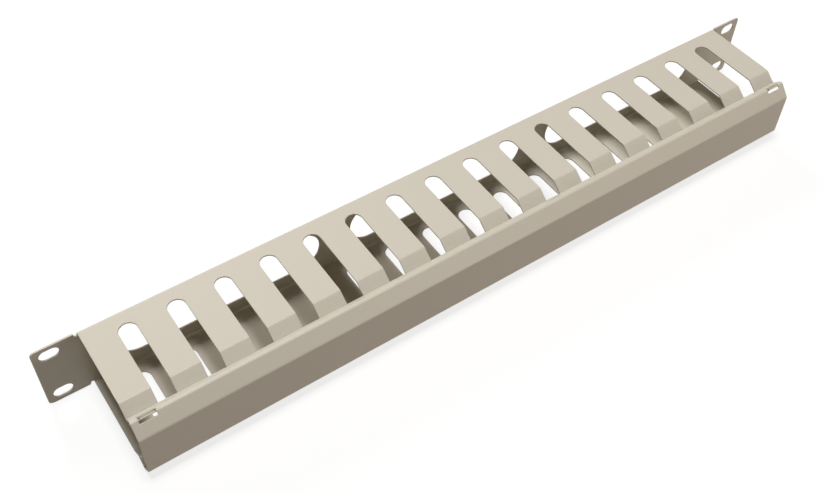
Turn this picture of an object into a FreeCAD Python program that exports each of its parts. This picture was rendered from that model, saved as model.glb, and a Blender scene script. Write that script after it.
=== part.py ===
import FreeCAD, Part
import math
import os

import Sketcher

# Cable management panel for a 19-inch rack, one rack unit high, in two folded
# steel pieces:
#   duct_base    back plate with rack ears, top and bottom walls folded forward
#                and cut into fingers, whose tips turn down and then up again
#   front_cover  C-shaped clip-on cover whose return lips hook behind the tips
# Lengths are in millimetres and angles in degrees.
#
# Both pieces are drawn in one frame: X runs along the rack's width, Y is 0 on
# the rear face of the back plate and grows away from the viewer, Z is 0 at
# mid-height. Their placement then sets the panel down with its origin at the
# middle of its underside.

Vector = FreeCAD.Vector

SIZES = {
    # row of fingers: their widths and number give the length of the duct, which
    # is 433.9
    "finger_wide": 16.3,
    "slot_wide": 9.8,
    "slot_count": 16,
    "slot_setback": 8.6,
    # walls, and the chamfer and tip of each finger
    "base_sheet": 1.0,
    "bend_radius": 0.8,
    "body_high": 44.2,
    "wall_deep": 49.25,
    "finger_fall": 38.3,
    "finger_run": 8.27,
    "tip_rise": 57.0,
    "tip_long": 5.12,
    # rack ears: 482.6 over both, and slots at 465.1 by 31.75
    "ear_wide": 24.35,
    "ear_drop": 0.3,
    "ear_corner": 2.4,
    "rack_slot_long": 10.4,
    "rack_slot_high": 6.8,
    "rack_slot_from_side": 8.75,
    "rack_slot_from_edge": 5.925,
    "relief_wide": 2.0,
    "relief_past": 0.4,
    # cable windows in the back plate, each 121 long
    "window_count": 3,
    "window_high": 26.0,
    "window_bridge": 20.0,
    "window_margin": 15.45,
    # tongues on the end fingers, through slots in the cover
    "tongue_wide": 7.2,
    "tongue_proud": 0.3,
    "tongue_inset": 0.4,
    # cover
    "cover_sheet": 1.0,
    "cover_bend": 1.4,
    "crown_bend": 1.0,
    "cover_fall": 48.0,
    "cover_run": 7.2,
    "lip_fall": 41.3,
    "tip_clearance": 0.75,
    "lip_clearance": 0.2,
    "tongue_behind_gap": 0.15,
    "tongue_front_gap": 1.4,
    "tongue_side_gap": 1.0,
    "tongue_slot_tilt": 30.0,
}

doc = FreeCAD.newDocument("cable_panel")
sheet = doc.addObject("Spreadsheet::Sheet", "Dims")
for row, (name, size) in enumerate(SIZES.items(), start=1):
    sheet.set("A%d" % row, str(size))
    sheet.setAlias("A%d" % row, name)
doc.recompute()


def value(expression):
    """The number that an expression over the sheet gives now."""
    number = sheet.evalExpression(expression)
    return float(getattr(number, "Value", number))


def point(place):
    return Vector(value(place[0]), value(place[1]), 0)


def mirrored(place):
    """The same place below mid-height."""
    return place[0], "-(%s)" % place[1]


def new_sketch(body, name, plane):
    """A sketch on one of the body's own origin planes."""
    sketch = body.newObject("Sketcher::SketchObject", name)
    role = [face for face in body.Origin.OriginFeatures if face.Role == plane]
    sketch.AttachmentSupport = [(role[0], "")]
    sketch.MapMode = "FlatFace"
    return sketch


def bind(sketch, kind, geometry, size):
    """A constraint whose value is an expression over the sheet."""
    number = sketch.addConstraint(Sketcher.Constraint(kind, *geometry, value(size)))
    sketch.setExpression("Constraints[%d]" % number, size)


def pin(sketch, edge, end, place):
    """Holds a point of the sketch at a place measured from its origin."""
    bind(sketch, "DistanceX", (-1, 1, edge, end), place[0])
    bind(sketch, "DistanceY", (-1, 1, edge, end), place[1])


def draw_loop(sketch, points):
    """A closed chain of straight edges. Returns the number of the first one."""
    first = sketch.GeometryCount
    count = len(points)
    for i in range(count):
        edge = Part.LineSegment(points[i], points[(i + 1) % count])
        sketch.addGeometry(edge, False)
    for i in range(count):
        following = first + (i + 1) % count
        sketch.addConstraint(
            Sketcher.Constraint("Coincident", first + i, 2, following, 1))
    return first


def draw_polygon(sketch, places):
    first = draw_loop(sketch, [point(place) for place in places])
    for i, place in enumerate(places):
        pin(sketch, first + i, 1, place)


def draw_obround(sketch, middle, length, height):
    """A slot with full-radius ends along the sketch's first axis."""
    reach = "((%s) - (%s)) / 2" % (length, height)
    radius = value(height) / 2
    centres = []
    for side, turn in (("-", math.pi / 2), ("+", -math.pi / 2)):
        place = "(%s) %s %s" % (middle[0], side, reach), middle[1]
        circle = Part.Circle(point(place), Vector(0, 0, 1), radius)
        arc = Part.ArcOfCircle(circle, turn, turn + math.pi)
        centres.append((sketch.addGeometry(arc, False), place))
    (left, left_place), (right, right_place) = centres
    start = sketch.getPoint(left, 2)
    lower = sketch.addGeometry(Part.LineSegment(start, sketch.getPoint(right, 1)), False)
    start = sketch.getPoint(right, 2)
    upper = sketch.addGeometry(Part.LineSegment(start, sketch.getPoint(left, 1)), False)
    joints = ((left, 2, lower, 1), (lower, 2, right, 1),
              (right, 2, upper, 1), (upper, 2, left, 1))
    for joint in joints:
        sketch.addConstraint(Sketcher.Constraint("Tangent", *joint))
    pin(sketch, left, 3, left_place)
    pin(sketch, right, 3, right_place)
    bind(sketch, "Radius", (left,), "(%s) / 2" % height)
    sketch.addConstraint(Sketcher.Constraint("Equal", left, right))


def draw_open_slot(sketch, middle, width, end, mouth):
    """A slot along the sketch's second axis, round at its end, square at its mouth."""
    radius = value(width) / 2
    toward = math.copysign(1, value(mouth) - value(end))
    centre_y = "(%s) + (%s) / 2 * %d" % (end, width, toward)
    centre = point((middle, centre_y))
    start = 0 if toward < 0 else math.pi
    circle = Part.Circle(centre, Vector(0, 0, 1), radius)
    arc = sketch.addGeometry(Part.ArcOfCircle(circle, start, start + math.pi), False)
    corners = [sketch.getPoint(arc, 2)]
    corners.append(Vector(corners[0].x, value(mouth), 0))
    corners.append(Vector(2 * centre.x - corners[0].x, value(mouth), 0))
    corners.append(sketch.getPoint(arc, 1))
    side = [sketch.addGeometry(Part.LineSegment(corners[i], corners[i + 1]), False)
            for i in range(3)]
    sketch.addConstraint(Sketcher.Constraint("Tangent", arc, 2, side[0], 1))
    sketch.addConstraint(Sketcher.Constraint("Coincident", side[0], 2, side[1], 1))
    sketch.addConstraint(Sketcher.Constraint("Coincident", side[1], 2, side[2], 1))
    sketch.addConstraint(Sketcher.Constraint("Tangent", side[2], 2, arc, 1))
    sketch.addConstraint(Sketcher.Constraint("Vertical", side[0]))
    sketch.addConstraint(Sketcher.Constraint("Vertical", side[2]))
    sketch.addConstraint(Sketcher.Constraint("Horizontal", side[1]))
    pin(sketch, arc, 3, (middle, centre_y))
    bind(sketch, "Radius", (arc,), "(%s) / 2" % width)
    bind(sketch, "DistanceY", (-1, 1, side[1], 1), mouth)


def inner_corners(outer, thickness):
    """The other face of a folded sheet, on the right of its outer corners."""
    steps = [(b - a).normalize() for a, b in zip(outer, outer[1:])]
    sides = [Vector(step.y, -step.x, 0) for step in steps]
    corners = [outer[0] + sides[0] * thickness]
    for i in range(1, len(steps)):
        middle = (sides[i - 1] + sides[i]).normalize()
        corners.append(outer[i] + middle * (thickness / middle.dot(sides[i])))
    corners.append(outer[-1] + sides[-1] * thickness)
    return corners


def draw_sheet_section(sketch, places, thickness):
    """The section of a folded sheet. Its outer corners are pinned, and its inner
    face runs parallel to them. Returns both rows of corners."""
    outer = [point(place) for place in places]
    inner = inner_corners(outer, value(thickness))
    first = draw_loop(sketch, outer + inner[::-1])
    folds = len(outer) - 1
    for i, place in enumerate(places):
        pin(sketch, first + i, 1, place)
    for i in range(folds):
        opposite = first + 2 * folds - i
        sketch.addConstraint(Sketcher.Constraint("Parallel", first + i, opposite))
        bind(sketch, "Distance", (opposite, 2, first + i), thickness)
    last_cap = first + folds
    first_cap = first + 2 * folds + 1
    sketch.addConstraint(Sketcher.Constraint("Perpendicular", first, first_cap))
    sketch.addConstraint(Sketcher.Constraint("Perpendicular", last_cap - 1, last_cap))
    return outer, inner


def add_pad(body, name, sketch, length, both_ways=False):
    pad = body.newObject("PartDesign::Pad", name)
    pad.Profile = sketch
    pad.SideType = "Symmetric" if both_ways else "One side"
    pad.setExpression("Length", length)
    doc.recompute()
    return pad


def add_cut(body, name, sketch, length=None):
    """A cut both ways from its sketch: right through, or of the given width."""
    cut = body.newObject("PartDesign::Pocket", name)
    cut.Profile = sketch
    cut.SideType = "Symmetric"
    if length is None:
        cut.Type = "ThroughAll"
    else:
        cut.setExpression("Length", length)
    before = body.Shape.Volume
    doc.recompute()
    if not cut.Shape.Volume < before - 1:
        raise ValueError("%s cuts nothing" % name)
    return cut


def add_fillet(body, name, along, places, radius):
    """Rounds the straight edges that run along an axis through the places."""
    base = body.Tip
    names = []
    for number, edge in enumerate(base.Shape.Edges, start=1):
        ends = edge.Vertexes
        if len(ends) != 2 or edge.Curve.TypeId != "Part::GeomLine":
            continue
        run = (ends[1].Point - ends[0].Point).normalize()
        if abs(run.dot(along)) < 0.999:
            continue
        for place in places:
            gap = (ends[0].Point - place).cross(along).Length
            if gap < 0.01:
                names.append("Edge%d" % number)
    fillet = body.newObject("PartDesign::Fillet", name)
    fillet.Base = (base, names)
    fillet.setExpression("Radius", radius)
    doc.recompute()
    return fillet


def add_row(body, name, cut, sketch, count, pitch):
    """Repeats a cut along the sketch's first axis."""
    row = body.newObject("PartDesign::LinearPattern", name)
    row.Originals = [cut]
    row.Direction = (sketch, ["H_Axis"])
    row.setExpression("Length", "%s * (%s - 1)" % (pitch, count))
    row.setExpression("Occurrences", count)
    body.Tip = row
    doc.recompute()
    return row


def add_mirror(body, name, feature):
    """Repeats a feature on the other side of the middle of the panel."""
    mirror = body.newObject("PartDesign::Mirrored", name)
    mirror.Originals = [feature]
    plane = [face for face in body.Origin.OriginFeatures if face.Role == "YZ_Plane"]
    mirror.MirrorPlane = (plane[0], [""])
    body.Tip = mirror
    doc.recompute()
    return mirror


# Lengths along the duct that follow from the row of fingers.
SLOT_PITCH = "(Dims.finger_wide + Dims.slot_wide)"
BODY_LONG = "(Dims.slot_count * %s + Dims.finger_wide)" % SLOT_PITCH
WINDOW_LONG = ("((%s - 2 * Dims.window_margin"
               " - (Dims.window_count - 1) * Dims.window_bridge) / Dims.window_count)"
               % BODY_LONG)
WINDOW_PITCH = "(%s + Dims.window_bridge)" % WINDOW_LONG
EAR_SPAN = "(%s + 2 * Dims.ear_wide)" % BODY_LONG
EAR_HIGH = "(Dims.body_high - 2 * Dims.ear_drop)"

# Section of a finger, seen from the end. The chamfer falls forward from the
# wall to the neck, and the tip rises forward from it.
HALF_HIGH = "(Dims.body_high / 2)"
neck_y = "(-(Dims.wall_deep + Dims.finger_run))"
neck_z = "(%s - Dims.finger_run * tan(Dims.finger_fall))" % HALF_HIGH


def along_tip(distance, across="0"):
    """A place on the tip: up from the neck, and off its rear face to the front."""
    return ("%s - (%s) * cos(Dims.tip_rise) - (%s) * sin(Dims.tip_rise)"
            % (neck_y, distance, across),
            "%s + (%s) * sin(Dims.tip_rise) - (%s) * cos(Dims.tip_rise)"
            % (neck_z, distance, across))


# Section of the cover. The crown is the corner between its chamfer and its lip.
# The inner face of the chamfer lies over the front corner of the finger tip, and
# the crown is so far up the chamfer that the upper edge of the slot in its bend
# clears the rear face of the tongue.
TIP_TO_COVER = "(Dims.tip_rise + Dims.cover_fall)"
CROWN_RADIUS = "(Dims.crown_bend + Dims.cover_sheet)"
crown_setback = ("(%s / tan((180 - Dims.cover_fall - Dims.lip_fall) / 2))"
                 % CROWN_RADIUS)
crown_over_tip = ("(%s + (Dims.tongue_behind_gap + Dims.base_sheet"
                  " - (Dims.tip_clearance - Dims.crown_bend) * cos(%s)"
                  " - Dims.crown_bend * cos(Dims.tip_rise - Dims.tongue_slot_tilt))"
                  " / sin(%s))" % (crown_setback, TIP_TO_COVER, TIP_TO_COVER))


def on_chamfer(corner, down, out):
    """A place down the cover's chamfer from a corner, and off its outer face."""
    return ("(%s - (%s) * cos(Dims.cover_fall) - (%s) * sin(Dims.cover_fall))"
            % (corner[0], down, out),
            "(%s - (%s) * sin(Dims.cover_fall) + (%s) * cos(Dims.cover_fall))"
            % (corner[1], down, out))


tip_front = along_tip("Dims.tip_long", "Dims.base_sheet")
crown_y, crown_z = on_chamfer(tip_front, "-%s" % crown_over_tip,
                              "Dims.tip_clearance + Dims.cover_sheet")
# The lip ends just above the chamfer of the fingers.
front_y = "(%s - Dims.cover_run)" % crown_y
front_z = "(%s - Dims.cover_run * tan(Dims.cover_fall))" % crown_z
# height of the crown's outer corner over the plane of the finger's chamfer
over_finger = ("((%s + Dims.wall_deep) * -sin(Dims.finger_fall)"
               " + (%s - %s) * cos(Dims.finger_fall))" % (crown_y, crown_z, HALF_HIGH))
lip_long = ("((%s - Dims.cover_sheet * cos(Dims.finger_fall + Dims.lip_fall)"
            " - Dims.lip_clearance) / sin(Dims.finger_fall + Dims.lip_fall))"
            % over_finger)
lip_end = ("%s + %s * cos(Dims.lip_fall)" % (crown_y, lip_long),
           "%s - %s * sin(Dims.lip_fall)" % (crown_z, lip_long))

# Middle of the tongue that stands on the end finger of each row.
TONGUE_X = "((%s - Dims.finger_wide) / 2 - Dims.tongue_inset)" % BODY_LONG
tongue_reach = ("Dims.tip_long + (Dims.tongue_proud + Dims.tip_clearance + Dims.cover_sheet"
                " - Dims.base_sheet / 2 * cos(%s)) / sin(%s)"
                % (TIP_TO_COVER, TIP_TO_COVER))

DEPTH = "(-%s)" % front_y


def place_body(body):
    """Sets the panel down on its underside, its middle over the origin."""
    body.setExpression("Placement.Base.y", "%s / 2" % DEPTH)
    body.setExpression("Placement.Base.z", HALF_HIGH)


def make_duct_base():
    """Back plate, ears, and the two walls of fingers, folded from one sheet."""
    body = doc.addObject("PartDesign::Body", "duct_base")
    body.Label = "duct_base"

    section = new_sketch(body, "section", "YZ_Plane")
    upper = [along_tip("Dims.tip_long"), (neck_y, neck_z),
             ("-Dims.wall_deep", HALF_HIGH), ("0", HALF_HIGH)]
    lower = [mirrored(place) for place in upper[::-1]]
    outer, inner = draw_sheet_section(section, upper + lower, "Dims.base_sheet")
    add_pad(body, "folded_sheet", section, BODY_LONG, both_ways=True)

    # At the neck the sheet bends the other way, so its tight side is outside.
    along = Vector(1, 0, 0)
    necks = (1, 6)
    tight = [outer[i] if i in necks else inner[i] for i in range(1, 7)]
    wide = [inner[i] if i in necks else outer[i] for i in range(1, 7)]
    for name, corners, radius in (
            ("inner_bends", tight, "Dims.bend_radius"),
            ("outer_bends", wide, "Dims.bend_radius + Dims.base_sheet")):
        places = [Vector(0, corner.x, corner.y) for corner in corners]
        add_fillet(body, name, along, places, radius)

    ears = new_sketch(body, "ear_outline", "XZ_Plane")
    for side in ("-", ""):
        root = "%s%s / 2" % (side, BODY_LONG)
        end = "%s%s / 2" % (side, EAR_SPAN)
        bottom, top = "-%s / 2" % EAR_HIGH, "%s / 2" % EAR_HIGH
        draw_polygon(ears, [(root, bottom), (end, bottom), (end, top), (root, top)])
    add_pad(body, "ears", ears, "Dims.base_sheet")
    half_span = value(EAR_SPAN) / 2
    half_height = value(EAR_HIGH) / 2
    corners = [Vector(x, 0, z) for x in (-half_span, half_span)
               for z in (-half_height, half_height)]
    add_fillet(body, "ear_corners", Vector(0, 1, 0), corners, "Dims.ear_corner")

    # The tongue carries the end finger's tip on through the cover.
    tongue = new_sketch(body, "tongue_section", "YZ_Plane")
    tongue.setExpression("AttachmentOffset.Base.z", TONGUE_X)
    half_way = "Dims.tip_long / 2"
    places = [along_tip(half_way), along_tip(tongue_reach),
              along_tip(tongue_reach, "Dims.base_sheet"),
              along_tip(half_way, "Dims.base_sheet")]
    draw_polygon(tongue, places)
    draw_polygon(tongue, [mirrored(place) for place in places])
    pad = add_pad(body, "tongues", tongue, "Dims.tongue_wide", both_ways=True)
    add_mirror(body, "tongues_other_end", pad)

    slot = new_sketch(body, "finger_gap", "XY_Plane")
    draw_open_slot(slot, "-(Dims.slot_count - 1) * %s / 2" % SLOT_PITCH,
                   "Dims.slot_wide", "-Dims.slot_setback", "-%s" % DEPTH)
    cut = add_cut(body, "finger_gap_cut", slot)
    add_row(body, "finger_gaps", cut, slot, "Dims.slot_count", SLOT_PITCH)

    window = new_sketch(body, "window", "XZ_Plane")
    draw_obround(window, ("-(Dims.window_count - 1) * %s / 2" % WINDOW_PITCH, "0"),
                 WINDOW_LONG, "Dims.window_high")
    cut = add_cut(body, "window_cut", window)
    add_row(body, "windows", cut, window, "Dims.window_count", WINDOW_PITCH)

    rack = new_sketch(body, "rack_slots", "XZ_Plane")
    for side in ("-", ""):
        for level in ("-", ""):
            middle = ("%s(%s / 2 - Dims.rack_slot_from_side)" % (side, EAR_SPAN),
                      "%s(%s / 2 - Dims.rack_slot_from_edge)" % (level, EAR_HIGH))
            draw_obround(rack, middle, "Dims.rack_slot_long", "Dims.rack_slot_high")
    add_cut(body, "rack_slot_cut", rack)

    # A notch at each end of each rear fold reaches just past the fold's line.
    relief = new_sketch(body, "fold_relief", "XZ_Plane")
    fold_line = "%s - Dims.bend_radius - Dims.base_sheet" % HALF_HIGH
    for side in ("-1", "1"):
        middle = "%s * (%s + Dims.relief_wide) / 2" % (side, BODY_LONG)
        for level in ("-1", "1"):
            end = "%s * (%s - Dims.relief_past)" % (level, fold_line)
            mouth = "%s * Dims.body_high" % level
            draw_open_slot(relief, middle, "Dims.relief_wide", end, mouth)
    body.Tip = add_cut(body, "fold_relief_cut", relief)
    place_body(body)
    return body


def make_front_cover():
    """Clip-on cover: front face, two chamfers and two return lips."""
    body = doc.addObject("PartDesign::Body", "front_cover")
    body.Label = "front_cover"

    section = new_sketch(body, "cover_section", "YZ_Plane")
    lower = [mirrored(lip_end), mirrored((crown_y, crown_z)),
             mirrored((front_y, front_z))]
    upper = [(front_y, front_z), (crown_y, crown_z), lip_end]
    outer, inner = draw_sheet_section(section, lower + upper, "Dims.cover_sheet")
    add_pad(body, "folded_cover", section, BODY_LONG, both_ways=True)
    along = Vector(1, 0, 0)
    for name, corners, which, radius in (
            ("front_inner_bends", inner, (2, 3), "Dims.cover_bend"),
            ("front_outer_bends", outer, (2, 3), "Dims.cover_bend + Dims.cover_sheet"),
            ("crown_inner_bends", inner, (1, 4), "Dims.crown_bend"),
            ("crown_outer_bends", outer, (1, 4), "Dims.crown_bend + Dims.cover_sheet")):
        places = [Vector(0, corners[i].x, corners[i].y) for i in which]
        add_fillet(body, name, along, places, radius)

    # A tongue slot runs from the top of the crown's bend down the chamfer.
    slot = new_sketch(body, "tongue_slot", "YZ_Plane")
    slot.setExpression("AttachmentOffset.Base.z", TONGUE_X)

    crown = crown_y, crown_z
    centre = on_chamfer(crown, crown_setback, "-%s" % CROWN_RADIUS)
    drop = ("%s + Dims.tip_clearance * cos(%s) / sin(%s) + Dims.tongue_front_gap"
            % (crown_over_tip, TIP_TO_COVER, TIP_TO_COVER))

    def on_bend(radius):
        """A place on the slot's upper edge, which lies square to the bent sheet."""
        return ("%s + (%s) * sin(Dims.tongue_slot_tilt)" % (centre[0], radius),
                "%s + (%s) * cos(Dims.tongue_slot_tilt)" % (centre[1], radius))

    places = [on_bend("Dims.crown_bend / 4"),
              on_bend("Dims.crown_bend + 3 * Dims.cover_sheet"),
              on_chamfer(crown, drop, "2 * Dims.cover_sheet"),
              on_chamfer(crown, drop, "-2 * Dims.cover_sheet")]
    draw_polygon(slot, places)
    draw_polygon(slot, [mirrored(place) for place in places])
    cut = add_cut(body, "tongue_slot_cut", slot,
                  "Dims.tongue_wide + 2 * Dims.tongue_side_gap")
    add_mirror(body, "tongue_slots_other_end", cut)
    place_body(body)
    return body


pieces = [make_duct_base(), make_front_cover()]
doc.recompute()

for item in doc.Objects:
    if "Invalid" in item.State or "Error" in item.State:
        raise ValueError("%s failed: %s" % (item.Name, item.State))
for piece in pieces:
    if piece.Shape.isNull() or not piece.Shape.isValid():
        raise ValueError("%s has no valid shape" % piece.Label)
    if len(piece.Shape.Solids) != 1:
        raise ValueError("%s is not one solid" % piece.Label)

os.makedirs("parts", exist_ok=True)
for piece in pieces:
    piece.Shape.exportStep("parts/%s.step" % piece.Label)
    box = piece.Shape.BoundBox
    print(piece.Label, "volume %.1f" % piece.Shape.Volume,
          "X %.2f %.2f Y %.2f %.2f Z %.2f %.2f"
          % (box.XMin, box.XMax, box.YMin, box.YMax, box.ZMin, box.ZMax))
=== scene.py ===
import math

import bmesh
import bpy
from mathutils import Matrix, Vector


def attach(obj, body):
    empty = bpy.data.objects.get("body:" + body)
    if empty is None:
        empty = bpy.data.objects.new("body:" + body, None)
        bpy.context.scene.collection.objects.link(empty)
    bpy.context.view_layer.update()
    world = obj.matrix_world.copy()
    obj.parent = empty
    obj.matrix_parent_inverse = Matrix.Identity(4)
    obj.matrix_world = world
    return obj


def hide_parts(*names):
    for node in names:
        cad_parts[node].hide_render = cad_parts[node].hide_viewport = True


# Looks of the rack cable management panel: two folded steel sheets in a light
# grey-beige powder coat, on a plain white floor in soft light from above. Lengths
# are in metres and colours are linear.

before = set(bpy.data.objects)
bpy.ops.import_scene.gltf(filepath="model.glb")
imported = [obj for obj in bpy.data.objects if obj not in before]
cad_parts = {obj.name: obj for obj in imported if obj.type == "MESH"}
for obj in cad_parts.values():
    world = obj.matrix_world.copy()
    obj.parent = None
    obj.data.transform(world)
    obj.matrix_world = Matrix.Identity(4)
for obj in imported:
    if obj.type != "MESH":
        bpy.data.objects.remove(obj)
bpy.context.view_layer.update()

# Camera, fitted to the photograph. The turn is in degrees, the lens in millimetres.
CAMERA_PLACE = (-0.26074, -0.30327, 0.47009)
CAMERA_TURN = (41.5124, -1.5122, -34.6596)
CAMERA_LENS = 46.3347
CAMERA_SENSOR = 36
CAMERA_SHIFT = (-0.008827, -0.029824)
CAMERA_CLIP = (0.01, 50)

WHITE = (1, 1, 1)
WARM_WHITE = (1.0, 0.95, 0.88)
PEACH = (1.0, 0.86, 0.74)

# Square soft boxes that face the panel: name, place, side, watts and colour.
LAMPS = (
    ("overhead", (-0.17, -0.05, 2.2), 0.5, 30, WHITE),
    ("rear", (0.1, 1.6, 1.1), 0.6, 13, WARM_WHITE),
    ("side", (0.38, -0.85, 0.15), 0.4, 1.7, PEACH),
)

# Even light from all round, and the white that is seen past the floor.
AIR_GLOW = 0.10
SKY_GLOW = 1.0

# The floor: what it throws back at the panel, and what is seen of it.
FLOOR_SIZE = 8
FLOOR_BOUNCE = (0.27, 0.232, 0.196)
FLOOR_SHADE = (0.28, 0.28, 0.28)
FLOOR_GLOW = 0.78

# The coat: two near colours in soft patches, and a fine orange-peel skin.
COAT = (0.685, 0.648, 0.556)
COAT_SHADE = (0.662, 0.626, 0.534)
COAT_ROUGHNESS = 0.45
COAT_SPECULAR = 0.5
PATCH_NOISE = {"Scale": 14.0, "Detail": 3.0}
PEEL_NOISE = {"Scale": 1400.0, "Detail": 2.0}
PEEL_BUMP = {"Strength": 0.12, "Distance": 0.0001}

# What stands for each CAD node: the piece, its slot and its coat.
PAINTED = (
    ("duct_base", "painted_base", "base_paint", "base_coat"),
    ("front_cover", "painted_cover", "cover_paint", "cover_coat"),
)

# The cut edges of the sheet are rounded by this much, as by paint.
EDGE_BREAK = 0.00028
EDGE_STEPS = 3
CUT_EDGE = (math.radians(50), math.radians(140))
# A fold sharper than a cut edge ends in a sliver, and this far around it the
# edges stay as they are. So do those beside a face narrower than this.
SLIVER_REACH = 0.003
NARROW_FACE = 1.5 * EDGE_BREAK

# Mesh clean-up: points this near are one, faces this near to flat are one, and
# shading is smooth up to this angle.
MERGE_REACH = 0.000002
FLAT_ANGLE = math.radians(0.5)
SMOOTH_ANGLE = math.radians(35)


class Nodes:
    """The emptied node tree of a material or a world."""

    def __init__(self, owner, output):
        owner.use_nodes = True
        self.tree = owner.node_tree
        self.tree.nodes.clear()
        self.output = self.add(output)

    def add(self, kind, **values):
        node = self.tree.nodes.new(kind)
        for name, value in values.items():
            socket = node.inputs[name.replace("_", " ")]
            if socket.type == "RGBA":
                value = (*value, 1)
            socket.default_value = value
        return node

    def link(self, source, target):
        self.tree.links.new(source, target)

    def rays(self, *kinds):
        """A socket that is 1 for rays of these kinds and 0 for all others."""
        path = self.add("ShaderNodeLightPath")
        found = path.outputs[kinds[0]]
        for kind in kinds[1:]:
            either = self.add("ShaderNodeMath")
            either.operation = "MAXIMUM"
            self.link(found, either.inputs[0])
            self.link(path.outputs[kind], either.inputs[1])
            found = either.outputs[0]
        return found

    def choose(self, factor, plain, chosen):
        """The plain shader where the factor is 0, the chosen one where it is 1."""
        mix = self.add("ShaderNodeMixShader")
        self.link(factor, mix.inputs["Fac"])
        self.link(plain.outputs[0], mix.inputs[1])
        self.link(chosen.outputs[0], mix.inputs[2])
        return mix

    def show(self, shader):
        self.link(shader.outputs[0], self.output.inputs["Surface"])


def powder_coat(name):
    """Satin powder coat: a fine orange-peel skin over a nearly even colour."""
    material = bpy.data.materials.new(name)
    nodes = Nodes(material, "ShaderNodeOutputMaterial")
    coat = nodes.add("ShaderNodeBsdfPrincipled", Roughness=COAT_ROUGHNESS,
                     Specular_IOR_Level=COAT_SPECULAR)
    nodes.show(coat)

    place = nodes.add("ShaderNodeTexCoord")
    patches = nodes.add("ShaderNodeTexNoise", **PATCH_NOISE)
    nodes.link(place.outputs["Object"], patches.inputs["Vector"])
    tint = nodes.add("ShaderNodeMix")
    tint.data_type = "RGBA"
    tint.inputs["A"].default_value = (*COAT, 1)
    tint.inputs["B"].default_value = (*COAT_SHADE, 1)
    nodes.link(patches.outputs["Fac"], tint.inputs["Factor"])
    nodes.link(tint.outputs["Result"], coat.inputs["Base Color"])

    peel = nodes.add("ShaderNodeTexNoise", **PEEL_NOISE)
    nodes.link(place.outputs["Object"], peel.inputs["Vector"])
    bump = nodes.add("ShaderNodeBump", **PEEL_BUMP)
    nodes.link(peel.outputs["Fac"], bump.inputs["Height"])
    nodes.link(bump.outputs["Normal"], coat.inputs["Normal"])
    return material


def make_floor():
    """A plain white floor. It throws a little light back up at the panel, and
    where the camera or a reflection sees it, it is white with a faint shadow. It
    isn't seen from below."""
    bpy.ops.mesh.primitive_plane_add(size=FLOOR_SIZE, location=(0, 0, 0))
    floor = bpy.context.object
    floor.name = "floor"
    material = bpy.data.materials.new("floor_white")
    nodes = Nodes(material, "ShaderNodeOutputMaterial")
    bounce = nodes.add("ShaderNodeBsdfDiffuse", Color=FLOOR_BOUNCE)
    paper = nodes.add("ShaderNodeBsdfDiffuse", Color=FLOOR_SHADE)
    glow = nodes.add("ShaderNodeEmission", Color=WHITE, Strength=FLOOR_GLOW)
    seen = nodes.add("ShaderNodeAddShader")
    nodes.link(paper.outputs[0], seen.inputs[0])
    nodes.link(glow.outputs[0], seen.inputs[1])
    rays = nodes.rays("Is Camera Ray", "Is Glossy Ray", "Is Transmission Ray")
    upper_side = nodes.choose(rays, bounce, seen)
    face = nodes.add("ShaderNodeNewGeometry")
    clear = nodes.add("ShaderNodeBsdfTransparent")
    nodes.show(nodes.choose(face.outputs["Backfacing"], upper_side, clear))
    floor.data.materials.append(material)


def make_world():
    """Even light from all round, and white where the camera sees past the floor."""
    world = bpy.data.worlds.new("studio")
    bpy.context.scene.world = world
    nodes = Nodes(world, "ShaderNodeOutputWorld")
    air = nodes.add("ShaderNodeBackground", Color=PEACH, Strength=AIR_GLOW)
    sky = nodes.add("ShaderNodeBackground", Color=WHITE, Strength=SKY_GLOW)
    rays = nodes.rays("Is Camera Ray", "Is Transmission Ray")
    nodes.show(nodes.choose(rays, air, sky))


def add_lamp(name, place, side, watts, colour):
    """A square soft box that faces the panel."""
    lamp = bpy.data.lights.new(name, "AREA")
    lamp.shape = "SQUARE"
    lamp.size = side
    lamp.energy = watts
    lamp.color = colour
    holder = bpy.data.objects.new(name, lamp)
    holder.location = place
    to_panel = -Vector(place)
    holder.rotation_euler = to_panel.to_track_quat("-Z", "Y").to_euler()
    bpy.context.scene.collection.objects.link(holder)


def make_camera():
    """The camera of the photograph."""
    data = bpy.data.cameras.new("camera")
    data.sensor_fit = "HORIZONTAL"
    data.sensor_width = CAMERA_SENSOR
    data.lens = CAMERA_LENS
    data.shift_x, data.shift_y = CAMERA_SHIFT
    data.clip_start, data.clip_end = CAMERA_CLIP
    camera = bpy.data.objects.new("camera", data)
    camera.location = CAMERA_PLACE
    camera.rotation_euler = [math.radians(turn) for turn in CAMERA_TURN]
    bpy.context.scene.collection.objects.link(camera)
    bpy.context.scene.camera = camera


def beside_narrow_face(edge):
    """Whether an edge has too little face beside it to be rounded, as where a
    slot ends inside a bend."""
    start = edge.verts[0].co
    along = (edge.verts[1].co - start).normalized()

    def width(face):
        offsets = [vert.co - start for vert in face.verts]
        return max((offset - along * offset.dot(along)).length for offset in offsets)

    return any(width(face) < NARROW_FACE for face in edge.link_faces)


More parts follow.
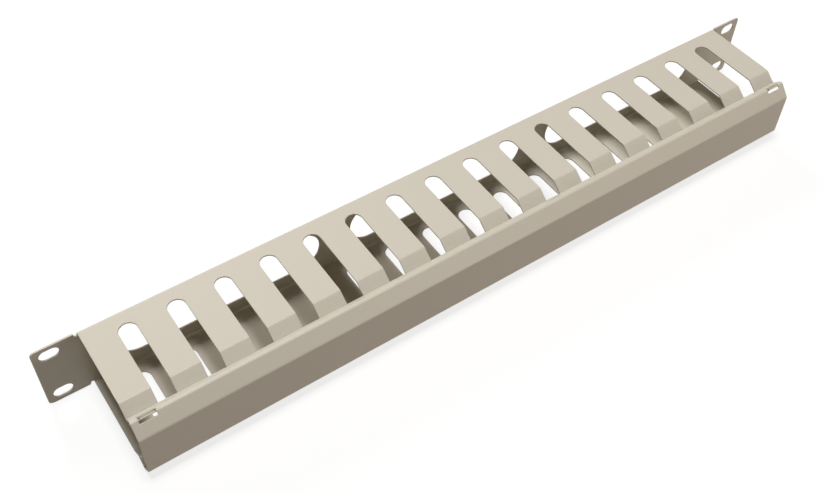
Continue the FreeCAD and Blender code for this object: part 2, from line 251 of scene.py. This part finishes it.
def mark_cut_edges(mesh):
    """Mark the edges of the sheet that the coat rounds, for the bevel."""
    work = bmesh.new()
    work.from_mesh(mesh)
    mark = work.edges.layers.float.new("bevel_weight_edge")
    slivers = [vert.co.copy() for edge in work.edges for vert in edge.verts
               if edge.calc_face_angle(0) > CUT_EDGE[1]]
    spared = {vert for vert in work.verts
              if any((vert.co - sliver).length < SLIVER_REACH for sliver in slivers)}
    for edge in work.edges:
        if (CUT_EDGE[0] < edge.calc_face_angle(0) < CUT_EDGE[1]
                and not spared.intersection(edge.verts)
                and not beside_narrow_face(edge)):
            edge[mark] = 1.0
    work.to_mesh(mesh)
    work.free()


def painted_copy(node, name, coat):
    """A copy of a CAD node whose cut edges are rounded, as a coat of powder
    rounds them. It stands for the node."""
    piece = bpy.data.objects.new(name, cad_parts[node].data.copy())
    bpy.context.scene.collection.objects.link(piece)
    bpy.ops.object.select_all(action="DESELECT")
    piece.select_set(True)
    bpy.context.view_layer.objects.active = piece

    bpy.ops.mesh.customdata_custom_splitnormals_clear()
    bpy.ops.object.mode_set(mode="EDIT")
    bpy.ops.mesh.select_all(action="SELECT")
    bpy.ops.mesh.remove_doubles(threshold=MERGE_REACH)
    bpy.ops.mesh.dissolve_limited(angle_limit=FLAT_ANGLE)
    bpy.ops.object.mode_set(mode="OBJECT")

    mark_cut_edges(piece.data)
    rounding = piece.modifiers.new("edge_break", "BEVEL")
    rounding.width = EDGE_BREAK
    rounding.segments = EDGE_STEPS
    rounding.limit_method = "WEIGHT"
    rounding.use_clamp_overlap = False
    bpy.ops.object.modifier_apply(modifier="edge_break")

    bpy.ops.object.shade_smooth_by_angle(angle=SMOOTH_ANGLE)
    even = piece.modifiers.new("even_faces", "WEIGHTED_NORMAL")
    even.keep_sharp = True
    bpy.ops.object.modifier_apply(modifier="even_faces")

    piece.data.materials.clear()
    piece.data.materials.append(coat)
    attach(piece, "root")
    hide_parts(node)


make_camera()
make_world()
make_floor()
for lamp in LAMPS:
    add_lamp(*lamp)
for node, name, slot, coat in PAINTED:
    painted_copy(node, name, powder_coat(coat))

bpy.context.scene.view_settings.view_transform = "Standard"
